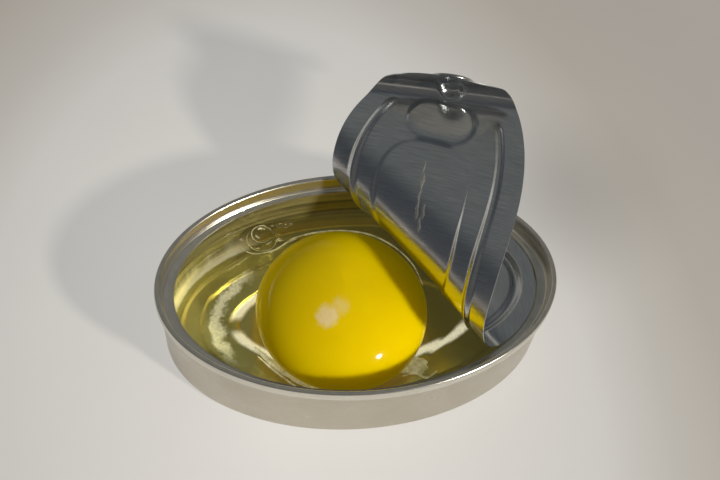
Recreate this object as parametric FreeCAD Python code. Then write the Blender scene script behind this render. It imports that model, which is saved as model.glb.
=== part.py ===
# An opened oval tin with one egg in it: drawn body, seamed end ring with its ledge,
# the peeled lid rolled back on itself, the ring pull with its rivet, the white and the yolk.
# Millimetres. Origin: middle of the base, on the plane the tin stands on.
# +X runs along the tin towards the end where the lid still holds, +Y to the back, +Z up.
import FreeCAD
import Part
import math
import os

V = FreeCAD.Vector

# the tin
half_length = 52.5        # outside of the seam, from the middle to the end
half_width = 33.85        # outside of the seam, from the middle to the side
height = 24.0
sheet = 0.3               # body metal
seam_bottom = 21.0        # underside of the double seam
seam_width = 1.35
seam_rounding = 0.55
wall_inset_top = 1.15     # body wall, in from the seam's outside
wall_inset_foot = 2.15    # the wall draws in towards the base
foot_width = 2.1          # flat ring that the tin stands on
foot_corner = 1.6
foot_slope = 1.1          # run of the short slopes between foot and panel, and at the step
soft_corner = 0.4         # rounding of every other pressed corner
panel_rise = 1.1          # base panel, up from the foot
step_inset = 11.4         # expansion step in the base panel
step_rise = 0.5
bead_inset = 19.5         # oval bead inside the step
bead_width = 3.2
bead_rise = 0.5
disc_inset = 24.0         # flat middle of the base panel

# the end: what is left of it in the seam
end_sheet = 0.35
wall_gap = 0.05           # between the end's inner wall and the body's
ledge_top = 20.25         # top of the ledge that stays when the lid tears off
ledge_bottom = 20.0
chuck_inset = 2.3         # foot of the wall inside the seam
score_half_length = 47.6  # the torn line
score_half_width = 30.4

# the lid
lid_half_length = 47.5
lid_half_width = 30.3
lid_sheet = 0.25
roll_heading = math.radians(-55.7)   # heading of the roll's axis in plan
roll_taper = -0.0070                 # the roll opens towards its back end, per mm of axis
first_bend = (-13.5, 23.2, 118.6)    # middle, width along the sheet, angle
second_bend = (5.2, 28.0, 54.7)
tip_crease = -31.6                   # the tab lifts the tip from this line of the flat lid
tip_skew = 0.13
tip_bend_radius = 4.1
tip_bend_angle = 116.0
tip_bend_twist = -0.24               # change of that angle per mm across the lid
well_place = -26.5                   # finger well under the ring of the tab
well_half = (5.8, 10.0)
well_edge = 3.6                      # width of the slope round the well
well_depth = 0.7
outer_bead_half = (42.3, 22.6)       # C-shaped bead, open towards the tab
outer_bead_width = 3.6
outer_bead_depth = 0.45
outer_bead_end = -31.0
outer_bead_fade = 3.0
lid_stations = 60                    # sections along the lid and points on each
lid_points = 30
lid_cut = 0.003                      # share of the half length lost at each end of the oval

# the tab and its rivet
rivet_place = -40.4
rivet_radius = 1.7
rivet_head_radius = 2.7
rivet_head = 0.5
rivet_rounding = 0.22
tab_sheet = 1.1                      # thickness over the curled hem
tab_web = 0.45
tab_nose_radius = 5.6
tab_ring_radius = 8.6
tab_ring_reach = 12.5                # rivet to the middle of the ring
tab_hole_half = (5.6, 6.2)
tab_hole_reach = 13.0
tab_hem = 1.7                        # width of the curled hem round the nose
tab_rounding = 0.46
tab_gap = 0.16

# the egg
white_level = 9.0
yolk_centre = (-4.55, -1.4)
yolk_middle = 12.0
yolk_half = (22.6, 23.6)
yolk_dome = 13.0
yolk_belly = 10.6


def save(shape, name):
    os.makedirs("parts", exist_ok=True)
    shape.exportStep("parts/" + name + ".step")
    print(name, "valid", shape.isValid(), "solids", len(shape.Solids), "volume", round(shape.Volume, 1))


# ---- oval skins: a profile of (inset, z) points carried round the tin's ellipse ----

OVAL_KNOTS = [0.0, 0.25, 0.5, 0.75, 1.0]
OVAL_MULTS = [3, 2, 2, 2, 3]
CORNERS = [(1, 0), (1, 1), (0, 1), (-1, 1), (-1, 0), (-1, -1), (0, -1), (1, -1), (1, 0)]


def oval_row(place):
    # the nine poles of an ellipse; place is (inset along X, inset along Y, z)
    inset_x, inset_y, z = place
    return [V(i * (half_length - inset_x), j * (half_width - inset_y), z) for i, j in CORNERS]


def oval_weights():
    return [1.0 if i % 2 == 0 else math.sqrt(0.5) for i in range(len(CORNERS))]


def oval_edge(place):
    curve = Part.BSplineCurve()
    curve.buildFromPolesMultsKnots(oval_row(place), OVAL_MULTS, OVAL_KNOTS, False, 2, oval_weights())
    return curve.toShape()


def flat_ring(outer, inner):
    wires = [Part.Wire([oval_edge(place)]) for place in (outer, inner)]
    return Part.makeFace(wires, "Part::FaceMakerBullseye")


def oval_face(stroke, middle_weight=1.0):
    # a straight stroke has two places, a rounded one three
    degree = len(stroke) - 1
    if degree == 1 and stroke[0][2] == stroke[1][2]:
        return flat_ring(stroke[0], stroke[1])
    rows = [oval_row(place) for place in stroke]
    stroke_weights = [1.0] * len(stroke)
    if degree == 2:
        stroke_weights[1] = middle_weight
    poles = [[row[i] for row in rows] for i in range(len(CORNERS))]
    weights = [[w * s for s in stroke_weights] for w in oval_weights()]
    surface = Part.BSplineSurface()
    surface.buildFromPolesMultsKnots(poles, OVAL_MULTS, [degree + 1] * 2, OVAL_KNOTS, [0.0, 1.0],
                                     False, False, 2, degree, weights)
    return surface.toShape()


def towards(a, b, distance):
    length = math.sqrt(sum((q - p) ** 2 for p, q in zip(a, b)))
    return tuple(p + (q - p) * distance / length for p, q in zip(a, b))


def oval_faces(profile, closed):
    # profile: (inset x, inset y, z, length trimmed off each side of the corner for its rounding)
    count = len(profile)
    faces = []
    last_out = None
    first_in = None
    for i, point in enumerate(profile):
        place = point[:3]
        trim = point[3]
        at_end = not closed and i in (0, count - 1)
        if trim == 0.0 or at_end:
            coming, leaving = place, place
        else:
            before = profile[i - 1][:3]
            after = profile[(i + 1) % count][:3]
            coming = towards(place, before, trim)
            leaving = towards(place, after, trim)
        if last_out is not None:
            faces.append(oval_face([last_out, coming]))
        if coming != leaving:
            chord = math.dist(coming, leaving)
            faces.append(oval_face([coming, place, leaving], chord / (2 * trim)))
        if first_in is None:
            first_in = coming
        last_out = leaving
    if closed:
        faces.append(oval_face([last_out, first_in]))
    return faces


def solid_from(faces):
    shell = Part.makeShell(faces)
    shell.sewShape()
    solid = Part.makeSolid(Part.makeShell(shell.Faces))
    if solid.Volume < 0:
        solid.reverse()
    return solid


def even(inset, z, trim=0.0):
    return (inset, inset, z, trim)


def body_profile(skin):
    # from the top of the wall to the flat middle of the base; skin 0 is outside, 1 inside
    metal = skin * sheet
    foot_in = wall_inset_foot + foot_corner + foot_width
    low_panel = panel_rise + metal
    high_panel = low_panel + step_rise
    return [
        even(wall_inset_top + metal, seam_bottom),
        even(wall_inset_foot + metal, metal, foot_corner - metal / 2),
        even(foot_in, metal, soft_corner),
        even(foot_in + foot_slope, low_panel, soft_corner),
        even(step_inset - foot_slope / 2, low_panel, soft_corner),
        even(step_inset + foot_slope / 2, high_panel, soft_corner),
        even(bead_inset - bead_width / 2, high_panel, soft_corner),
        even(bead_inset, high_panel + bead_rise, 2 * soft_corner),
        even(bead_inset + bead_width / 2, high_panel, soft_corner),
        even(disc_inset, high_panel),
    ]


def flat_oval(place):
    return Part.Face(Part.Wire([oval_edge(place)]))


def make_body():
    outside = body_profile(0)
    inside = body_profile(1)
    faces = oval_faces(outside, False) + oval_faces(inside, False)
    faces.append(oval_face([outside[0][:3], inside[0][:3]]))
    faces.append(flat_oval(outside[-1][:3]))
    faces.append(flat_oval(inside[-1][:3]))
    return solid_from(faces)


def make_end_ring():
    score = (half_length - score_half_length, half_width - score_half_width)
    profile = [
        even(0.0, seam_bottom, soft_corner),
        even(0.0, height, seam_rounding),
        even(seam_width, height, seam_rounding),
        even(chuck_inset, ledge_top, soft_corner),
        (score[0], score[1], ledge_top, 0.0),
        (score[0], score[1], ledge_bottom, 0.0),
        even(chuck_inset - end_sheet, ledge_bottom, soft_corner / 2),
        even(wall_inset_top + sheet + wall_gap, seam_bottom),
    ]
    return solid_from(oval_faces(profile, True))


# ---- the lid: a flat oval sheet bent over a tapered roll ----

def smooth_step(t):
    t = min(max(t, 0.0), 1.0)
    return t * t * (3.0 - 2.0 * t)


def sheet_angle(s):
    # how far the sheet has turned up at distance s across the roll
    total = 0.0
    for middle, width, angle in (first_bend, second_bend):
        total += math.radians(angle) * smooth_step((s - middle) / width + 0.5)
    return total


ROLL_AXIS = (math.cos(roll_heading), math.sin(roll_heading))
ACROSS = (ROLL_AXIS[1], -ROLL_AXIS[0])
ROLL_START = first_bend[0] - first_bend[1] / 2
ROLL_STEP = 0.1


def sheet_section():
    # the bent sheet's section across the roll, as (run, rise) at every step
    run, rise = ROLL_START, 0.0
    line = [(run, rise)]
    steps = int((lid_half_length * 1.6 - ROLL_START) / ROLL_STEP)
    for i in range(steps):
        angle = sheet_angle(ROLL_START + (i + 0.5) * ROLL_STEP)
        run += math.cos(angle) * ROLL_STEP
        rise += math.sin(angle) * ROLL_STEP
        line.append((run, rise))
    return line


SECTION = sheet_section()


def section_at(s):
    place = (s - ROLL_START) / ROLL_STEP
    i = min(int(place), len(SECTION) - 2)
    part = place - i
    low, high = SECTION[i], SECTION[i + 1]
    return low[0] + (high[0] - low[0]) * part, low[1] + (high[1] - low[1]) * part


def rolled(x, y, lift):
    # where the point (x, y) of the flat lid lies once it is rolled; lift is along its outer side
    s = x * ACROSS[0] + y * ACROSS[1]
    along = x * ROLL_AXIS[0] + y * ROLL_AXIS[1]
    run, rise, angle = s, 0.0, 0.0
    if s > ROLL_START:
        ease = 1.0 + roll_taper * along
        eased = ROLL_START + (s - ROLL_START) * ease
        run, rise = section_at(eased)
        run = ROLL_START + (run - ROLL_START) / ease
        rise = rise / ease
        angle = sheet_angle(eased)
    run -= math.sin(angle) * lift
    rise += math.cos(angle) * lift
    return V(ACROSS[0] * run + ROLL_AXIS[0] * along, ACROSS[1] * run + ROLL_AXIS[1] * along,
             ledge_bottom + rise)


def lid_point(x, y, lift):
    crease = tip_crease + tip_skew * y
    past = crease - x
    if past <= 0.0:
        return rolled(x, y, lift)
    start = rolled(crease, y, 0.0)
    outwards = (rolled(crease - 0.5, y, 0.0) - rolled(crease + 0.5, y, 0.0)).normalize()
    upwards = (rolled(crease, y, 0.5) - rolled(crease, y, -0.5)).normalize()
    full = math.radians(tip_bend_angle + tip_bend_twist * y)
    turn = min(past / tip_bend_radius, full)
    rest = max(past - tip_bend_radius * full, 0.0)
    reach = tip_bend_radius * math.sin(turn) + rest * math.cos(turn)
    drop = tip_bend_radius * (1.0 - math.cos(turn)) + rest * math.sin(turn)
    normal = upwards * math.cos(turn) + outwards * math.sin(turn)
    return start + outwards * reach - upwards * drop + normal * lift


def ridge(distance, half):
    return math.cos(math.pi / 2 * distance / half) ** 2 if abs(distance) < half else 0.0


def lid_relief(x, y):
    # the beads and the finger well, pressed towards the inside of the tin
    bead = math.hypot(x / outer_bead_half[0], y / outer_bead_half[1]) - 1.0
    reach = math.hypot(x, y) / (bead + 1.0) if bead > -1.0 else 0.0
    open_end = smooth_step((x - outer_bead_end) / outer_bead_fade)
    depth = outer_bead_depth * ridge(bead * reach, outer_bead_width / 2) * open_end
    side = max(abs(y) - (well_half[1] - well_half[0]), 0.0)
    well = math.hypot(x - well_place, side) - well_half[0]
    return -depth - well_depth * smooth_step(0.5 - well / well_edge)


def make_lid():
    skins = []
    for skin in (0, 1):
        grid = []
        for i in range(lid_stations + 1):
            x = -lid_half_length * (1.0 - lid_cut) * math.cos(math.pi * i / lid_stations)
            half = lid_half_width * math.sqrt(1.0 - (x / lid_half_length) ** 2)
            row = []
            for j in range(lid_points + 1):
                y = half * math.sin(math.pi / 2 * (2.0 * j / lid_points - 1.0))
                row.append(lid_point(x, y, skin * lid_sheet + lid_relief(x, y)))
            grid.append(row)
        surface = Part.BSplineSurface()
        surface.interpolate(grid)
        skins.append(surface)
    faces = [skin.toShape() for skin in skins]
    low, high = skins
    u0, u1, v0, v1 = low.bounds()
    for u in (u0, u1):
        faces.append(Part.makeRuledSurface(low.uIso(u).toShape(), high.uIso(u).toShape(), 1))
    for v in (v0, v1):
        faces.append(Part.makeRuledSurface(low.vIso(v).toShape(), high.vIso(v).toShape(), 1))
    return solid_from(faces)


def strip_frame():
    # at the rivet: its place on the outer skin, the way to the tip, and the way out of the skin
    near = 0.5
    place = lid_point(rivet_place, 0.0, lid_sheet)
    to_tip = (lid_point(rivet_place - near, 0.0, 0.0) - lid_point(rivet_place + near, 0.0, 0.0)).normalize()
    along_edge = lid_point(rivet_place, near, 0.0) - lid_point(rivet_place, -near, 0.0)
    outward = along_edge.cross(to_tip).normalize()
    return place, to_tip, outward


def set_on_strip(shape):
    # the shape is drawn with its rivet at the origin, its ring along +X and its upper side +Z
    place, to_tip, outward = strip_frame()
    ring_way = to_tip * -1.0
    side = outward.cross(ring_way)
    seat = FreeCAD.Matrix(ring_way.x, side.x, outward.x, place.x,
                          ring_way.y, side.y, outward.y, place.y,
                          ring_way.z, side.z, outward.z, place.z,
                          0, 0, 0, 1)
    seated = shape.copy()
    seated.Placement = FreeCAD.Placement(seat)
    return seated


def tangent_outline(small, large, reach):
    # a small circle at the origin and a large one at reach, joined by their outer tangents
    lean = math.asin((large - small) / reach)
    up = (-math.sin(lean), math.cos(lean))
    a = V(small * up[0], small * up[1], 0)
    b = V(reach + large * up[0], large * up[1], 0)
    c = V(b.x, -b.y, 0)
    d = V(a.x, -a.y, 0)
    edges = [
        Part.LineSegment(a, b).toShape(),
        Part.Arc(b, V(reach + large, 0, 0), c).toShape(),
        Part.LineSegment(c, d).toShape(),
        Part.Arc(d, V(-small, 0, 0), a).toShape(),
    ]
    return Part.Wire(edges)


def make_tab():
    plate = Part.Face(tangent_outline(tab_nose_radius, tab_ring_radius, tab_ring_reach))
    plate = plate.extrude(V(0, 0, tab_sheet))
    plate = plate.makeFillet(tab_rounding, plate.Edges)
    hole = Part.Ellipse(V(tab_hole_reach, tab_hole_half[1], 0), V(tab_hole_reach + tab_hole_half[0], 0, 0),
                        V(tab_hole_reach, 0, 0))
    hole = Part.Face(Part.Wire([hole.toShape()])).extrude(V(0, 0, 3 * tab_sheet))
    hole.translate(V(0, 0, -tab_sheet))
    web = Part.makeCylinder(tab_nose_radius - tab_hem, tab_sheet, V(0, 0, tab_web))
    bore = Part.makeCylinder(rivet_radius + tab_gap, 3 * tab_sheet, V(0, 0, -tab_sheet))
    tab = plate.cut(hole).cut(web).cut(bore)
    tab.translate(V(0, 0, tab_gap))
    return set_on_strip(tab)


def make_rivet():
    shank = Part.makeCylinder(rivet_radius, tab_web + 2 * tab_gap)
    head = Part.makeCylinder(rivet_head_radius, rivet_head, V(0, 0, tab_web + 2 * tab_gap))
    head = head.makeFillet(rivet_rounding, head.Edges)
    return set_on_strip(shank.fuse(head))


# ---- the egg ----

def make_yolk():
    x, y = yolk_centre
    floor = panel_rise + step_rise + bead_rise + sheet
    size = 3 * yolk_half[1]
    dome = Part.makeSphere(1.0, V(0, 0, 0), V(0, 0, 1), 0, 90, 360)
    belly = Part.makeSphere(1.0, V(0, 0, 0), V(0, 0, 1), -90, 0, 360)
    halves = []
    for half, tall in ((dome, yolk_dome), (belly, yolk_belly)):
        stretch = FreeCAD.Matrix()
        stretch.scale(V(yolk_half[0], yolk_half[1], tall))
        stretch.move(V(x, y, yolk_middle))
        halves.append(half.transformGeometry(stretch))
    yolk = halves[0].fuse(halves[1])
    below = Part.makeBox(size, size, yolk_middle, V(x - size / 2, y - size / 2, floor - yolk_middle))
    return yolk.cut(below)


def make_white(yolk):
    # the inside of the tin up to the level, cut round the yolk
    inside = body_profile(1)
    share = (white_level - sheet) / (seam_bottom - sheet)
    inset = wall_inset_foot + sheet + (wall_inset_top - wall_inset_foot) * share
    profile = [even(inset, white_level)] + inside[1:]
    faces = oval_faces(profile, False)
    faces.append(flat_oval(profile[0][:3]))
    faces.append(flat_oval(profile[-1][:3]))
    return solid_from(faces).cut(yolk)


yolk = make_yolk()
save(make_body(), "can_body")
save(make_end_ring(), "end_ring")
save(make_lid(), "peeled_lid")
save(make_tab(), "ring_pull")
save(make_rivet(), "rivet")
save(yolk, "egg_yolk")
save(make_white(yolk), "egg_white")
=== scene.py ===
import random
from math import asin, cos, degrees, dist, exp, hypot, pi, radians, sin, sqrt, tau

import bmesh
import bpy
from mathutils import Matrix, Vector, noise


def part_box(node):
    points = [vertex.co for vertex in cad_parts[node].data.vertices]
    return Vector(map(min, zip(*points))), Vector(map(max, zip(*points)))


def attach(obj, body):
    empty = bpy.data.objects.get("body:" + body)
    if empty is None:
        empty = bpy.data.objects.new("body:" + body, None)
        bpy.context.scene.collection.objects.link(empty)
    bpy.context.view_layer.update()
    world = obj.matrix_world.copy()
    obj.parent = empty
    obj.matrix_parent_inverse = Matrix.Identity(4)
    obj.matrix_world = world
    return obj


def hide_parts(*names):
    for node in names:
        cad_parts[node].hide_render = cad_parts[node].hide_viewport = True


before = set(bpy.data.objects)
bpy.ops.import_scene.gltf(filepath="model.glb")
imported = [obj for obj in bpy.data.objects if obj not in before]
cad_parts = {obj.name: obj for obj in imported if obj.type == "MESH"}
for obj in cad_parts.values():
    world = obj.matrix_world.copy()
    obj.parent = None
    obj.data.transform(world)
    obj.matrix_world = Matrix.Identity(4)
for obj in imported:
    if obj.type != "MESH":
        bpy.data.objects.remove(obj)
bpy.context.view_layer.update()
mm = 0.001
smoothly = {"interpolation_type": "SMOOTHSTEP"}
random.seed(7)
scene = bpy.context.scene
print("frame loaded")


# small helpers

def hexColour(code):
    # an sRGB hex value as the linear colour that a shader takes
    parts = [int(code[i:i + 2], 16) / 255 for i in (0, 2, 4)]
    return tuple(p / 12.92 if p <= 0.04045 else ((p + 0.055) / 1.055) ** 2.4 for p in parts) + (1.0,)


def addNode(tree, kind, settings=None, links=None):
    # settings go to sockets by name or number, or to the node itself; "ramp" holds (place, hex) stops;
    # a link comes from a node's first output, or from the output given
    node = tree.nodes.new("ShaderNode" + kind)
    for key, value in (settings or {}).items():
        if key == "ramp":
            stops = node.color_ramp.elements
            while len(stops) < len(value):
                stops.new(0.5)
            for stop, (place, code) in zip(stops, value):
                stop.position = place
                stop.color = hexColour(code)
        elif isinstance(key, int) or key in node.inputs:
            node.inputs[key].default_value = value
        else:
            setattr(node, key, value)
    for key, source in (links or {}).items():
        output = source.outputs[0] if hasattr(source, "outputs") else source
        tree.links.new(output, node.inputs[key])
    return node


def startMaterial(name):
    material = bpy.data.materials.new(name)
    material.use_nodes = True
    material.node_tree.nodes.clear()
    return material, material.node_tree


def endMaterial(tree, surface):
    addNode(tree, "OutputMaterial", links={"Surface": surface})


def smoothStep(t):
    t = min(max(t, 0.0), 1.0)
    return t * t * (3 - 2 * t)


def makeMesh(name, points, faces, materials, faceSlots=None, flat=None, sharp=35):
    # flat gives each point's place on the flat sheet, so a rolled grain can follow it
    data = bpy.data.meshes.new(name)
    data.from_pydata([tuple(c * mm for c in p) for p in points], [], faces)
    for material in materials:
        data.materials.append(material)
    if faceSlots:
        data.polygons.foreach_set("material_index", faceSlots)
    if flat:
        layer = data.uv_layers.new(name="flat")
        for loop in data.loops:
            layer.data[loop.index].uv = flat[loop.vertex_index]
    bm = bmesh.new()
    bm.from_mesh(data)
    bmesh.ops.remove_doubles(bm, verts=bm.verts, dist=1e-7)
    bmesh.ops.recalc_face_normals(bm, faces=bm.faces)
    bm.to_mesh(data)
    bm.free()
    data.polygons.foreach_set("use_smooth", [True] * len(data.polygons))
    data.set_sharp_from_angle(angle=radians(sharp))
    piece = bpy.data.objects.new(name, data)
    scene.collection.objects.link(piece)
    return piece


def bridgeRings(rings, wrap=False):
    # quads between rings of equal count; wrap joins the last ring to the first
    points = [p for ring in rings for p in ring]
    count = len(rings[0])
    faces = []
    for k in range(len(rings) if wrap else len(rings) - 1):
        low = k * count
        high = (k + 1) % len(rings) * count
        for i in range(count):
            j = (i + 1) % count
            faces.append((low + i, low + j, high + j, high + i))
    return points, faces


def capEnds(points, faces, count, first, last):
    # closes the first and the last ring with a fan to its middle
    for start, middle in ((0, first), (len(points) - count, last)):
        points.append(middle)
        for i in range(count):
            faces.append((start + i, start + (i + 1) % count, len(points) - 1))


def addPart(points, faces, more, moreFaces):
    # joins another closed skin to the same piece
    shift = len(points)
    points += more
    faces += [tuple(i + shift for i in face) for face in moreFaces]


def levelRing(count, middle, half, z):
    # an oval of points at height z
    return [(middle[0] + half[0] * cos(tau * i / count),
             middle[1] + half[1] * sin(tau * i / count), z) for i in range(count)]


def setPiece(piece, slot, *nodes):
    # it rides on the one body and stands for the nodes given
    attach(piece, "root")
    if nodes:
        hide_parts(*nodes)
    print("made", piece.name, len(piece.data.polygons), "faces")


# the tin's own sizes: its outside from the frame, the rest as pressed

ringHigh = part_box("end_ring")[1]
tin = {
    "halfLength": ringHigh.x / mm,  # outside of the seam
    "halfWidth": ringHigh.y / mm,
    "height": ringHigh.z / mm,
    "sheet": 0.3,
    "seamBottom": 21.0,
    "seamWidth": 1.35,
    "wallInsetTop": 1.15,
    "wallInsetFoot": 2.15,
    "footWidth": 2.1,
    "footCorner": 1.6,
    "footSlope": 1.1,
    "panelRise": 1.1,
    "stepInset": 11.4,
    "stepRise": 0.5,
    "beadInset": 20.3,
    "beadWidth": 3.2,
    "beadRise": 0.5,
    "discInset": 24.0,
    "segments": 288,
    "wave": 0.04,                   # no drawn wall is quite even
}


def ovalRing(place, wave=0.0):
    # one turn round the tin's oval; place is (inset along x, inset along y, height)
    ring = []
    for i in range(tin["segments"]):
        turn = tau * i / tin["segments"]
        x, y = cos(turn), sin(turn)
        shift = wave * noise.noise(Vector((3 * x, 3 * y, place[2] * 0.15)))
        ring.append(((tin["halfLength"] - place[0] - shift) * x,
                     (tin["halfWidth"] - place[1] - shift) * y, place[2]))
    return ring


def even(inset, z, trim=0.0):
    return (inset, inset, z, trim)


def roundedPath(corners, closed=False, steps=6):
    # corners are (inset x, inset y, z, length trimmed off each side); each is rounded to an arc
    path = []
    for i, corner in enumerate(corners):
        here = Vector(corner[:3])
        trim = corner[3]
        if trim == 0 or (not closed and i in (0, len(corners) - 1)):
            path.append(here)
            continue
        before = here + (Vector(corners[i - 1][:3]) - here).normalized() * trim
        after = here + (Vector(corners[(i + 1) % len(corners)][:3]) - here).normalized() * trim
        weight = (after - before).length / (2 * trim)
        for k in range(steps + 1):
            t = k / steps
            low, middle, high = (1 - t) ** 2, 2 * t * (1 - t) * weight, t * t
            path.append((before * low + here * middle + after * high) / (low + middle + high))
    return path


def basePath(skin):
    # the wall and base from the top of the wall to the disc; skin 0 is outside, 1 inside
    metal = skin * tin["sheet"]
    footIn = tin["wallInsetFoot"] + tin["footCorner"] + tin["footWidth"]
    low = tin["panelRise"] + metal
    high = low + tin["stepRise"]
    half = tin["footSlope"] / 2
    lean = tin["beadWidth"] / 2
    return roundedPath([
        even(tin["wallInsetTop"] + metal, tin["seamBottom"] + 0.4),
        even(tin["wallInsetFoot"] + metal, metal, tin["footCorner"] - metal / 2),
        even(footIn, metal, 0.4),
        even(footIn + tin["footSlope"], low, 0.4),
        even(tin["stepInset"] - half, low, 0.4),
        even(tin["stepInset"] + half, high, 0.4),
        even(tin["beadInset"] - lean, high, 0.4),
        even(tin["beadInset"], high + tin["beadRise"], 0.8),
        even(tin["beadInset"] + lean, high, 0.4),
        even(tin["discInset"], high),
    ])


# metals

metals = {
    # bright tin on drawn steel under clear lacquer: a soft satin that takes the table's colour
    "satin_tinplate": {"colour": "CBC4B6", "darker": "BDB5A4", "roughness": 0.30, "bumpShare": 0.35},
    # the same sheet curled and ironed by the seaming rolls: brighter and smoother
    "seamed_tinplate": {"colour": "E4E0D4", "darker": "D2CDC0", "roughness": 0.22, "bumpShare": 0.2,
                        "metallic": 0.9},
    # the lid's sheet, not drawn: fine straight rolling marks across it and a cool grey
    "rolled_lid_tinplate": {"colour": "DADBDA", "darker": "C6C9CA", "roughness": 0.20, "bumpShare": 0.5,
                            "onSheet": True},
    # epoxy gold lacquer baked on tinplate: yellow metal with a soft gloss, carrying painted highlights and
    # painted reflection rings
    "gold_lacquer_on_tinplate": {"colour": "DCD49A", "darker": "CDC485", "roughness": 0.20, "bumpShare": 0.5,
                                 "metallic": 0.75, "withPaintedLight": True},
    # the tab's thicker steel, barrel-polished after stamping
    "stamped_tab_steel": {"colour": "CFCFCC", "darker": "B9B9B5", "roughness": 0.25, "bumpShare": 0.25},
}
rolling = {
    # width and length of the rolling marks, then the darkest and palest of their tints;
    # real marks are nearer 0.03 mm wide: drawn coarser so that they show
    "drawn": (0.12, 2.6, 0.90, 1.06),
    "sheet": (0.28, 7.0, 0.80, 1.10),
    "depth": 0.02,
}
# painted light on the gold lacquer: pale cream highlight bands that glow, and rings of painted reflection round
# the wall
lacquerPaintedLight = {
    "cream": "F6EFC6",
    "glowColour": "FBF5EC",
    "glow": 0.72,                         # painted light: the bands glow, standing for the lamp's light that the white gathers here, even in shadow
    # painted bands: the oval that each follows, half its width, its strength
    "bead": ((32.0, 13.4), 1.5, 1.0),     # a painted highlight along the raised bead
    "thrown": ((37.0, 23.0), 1.5, 0.52),  # light thrown back by the curved wall lies on the base
    "foot": ((49.4, 30.8), 0.8, 0.38),    # and a brighter line of it in the foot's corner
    # where the bands show: along an axis, from and to
    "left": ("X", -24.0, -31.0),
    "front": ("Y", -13.0, -5.0),
    "back": ("Y", 0.0, 10.0),
    "farLeft": ("X", -22.0, -32.0),
    "parting": (0.8, 3.4),                # the bead's band parts at the left end
    "nearSide": (16.0, 12.0),             # and stays on the near side of a slanting line
    "ragged": 3.4,
    "neat": 0.12,
    "reflectionRings": 520.0,                  # scale of the painted reflection rings round the wall, per metre of height
    "wallFrom": (3.0, 8.0),               # heights between which the rings come in
    # colour factor on the base, below the painted rings
    "baseShade": 1.07,
}


def ovalBand(tree, flat, ragged, oval, half):
    # 1 on a band round an oval on the base, 0 off it
    squash = (1 / (oval[0] * mm), 1 / (oval[1] * mm), 0)
    shape = addNode(tree, "VectorMath", {"operation": "MULTIPLY", 1: squash}, {0: flat})
    share = addNode(tree, "VectorMath", {"operation": "LENGTH"}, {0: shape})
    reach = addNode(tree, "VectorMath", {"operation": "LENGTH"}, {0: flat})
    over = addNode(tree, "Math", {"operation": "SUBTRACT", 1: 1.0}, {0: share.outputs["Value"]})
    gap = addNode(tree, "Math", {"operation": "MULTIPLY_ADD"}, {0: over, 1: reach.outputs["Value"], 2: ragged})
    gap = addNode(tree, "Math", {"operation": "ABSOLUTE"}, {0: gap})
    return addNode(tree, "MapRange", {1: half * mm * 0.45, 2: half * mm * 1.55, 3: 1.0, 4: 0.0, **smoothly},
                   {0: gap})


def paintLacquerHighlights(tree, solid, parts):
    # where the painted highlights lie on the lacquer, and how strong they are
    flat = addNode(tree, "VectorMath", {"operation": "MULTIPLY", 1: (1, 1, 0)}, {0: solid})
    tear = addNode(tree, "TexNoise", {"Scale": 330.0, "Detail": 5.0, "Roughness": 0.7}, {"Vector": flat})
    large = lacquerPaintedLight["ragged"] * mm
    torn = addNode(tree, "MapRange", {3: -large, 4: large}, {0: tear})
    neat = addNode(tree, "Math", {"operation": "MULTIPLY", 1: lacquerPaintedLight["neat"]}, {0: torn})
    speck = addNode(tree, "TexNoise", {"Scale": 1500.0, "Detail": 2.0}, {"Vector": flat})
    grains = addNode(tree, "MapRange", {1: 0.38, 2: 0.62, 3: 0.74}, {0: speck})
    aside = addNode(tree, "Math", {"operation": "ABSOLUTE"}, {0: parts.outputs["Y"]})
    slanting = addNode(tree, "Math", {"operation": "MULTIPLY_ADD", 1: 0.6},
                       {0: parts.outputs["X"], 2: parts.outputs["Y"]})
    windows = []
    for source, (low, high) in ((aside, lacquerPaintedLight["parting"]), (slanting, lacquerPaintedLight["nearSide"])):
        windows.append(addNode(tree, "MapRange", {1: low * mm, 2: high * mm, **smoothly}, {0: source}))
    for name in ("left", "front", "back", "farLeft"):
        axis, low, high = lacquerPaintedLight[name]
        windows.append(addNode(tree, "MapRange", {1: low * mm, 2: high * mm, **smoothly},
                               {0: parts.outputs[axis]}))
    parted, nearer, left, front, back, farLeft = windows
    most = None
    shown = {"bead": (neat, grains, parted, nearer), "thrown": (torn, left, front, grains),
             "foot": (neat, back, farLeft)}
    for name, (edge, *inside) in shown.items():
        oval, half, strength = lacquerPaintedLight[name]
        band = ovalBand(tree, flat, edge, oval, half)
        for window in inside:
            band = addNode(tree, "Math", {"operation": "MULTIPLY"}, {0: band, 1: window})
        band = addNode(tree, "Math", {"operation": "MULTIPLY", 1: strength}, {0: band})
        most = addNode(tree, "Math", {"operation": "MAXIMUM"}, {0: band, 1: most or band})
    return most


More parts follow.
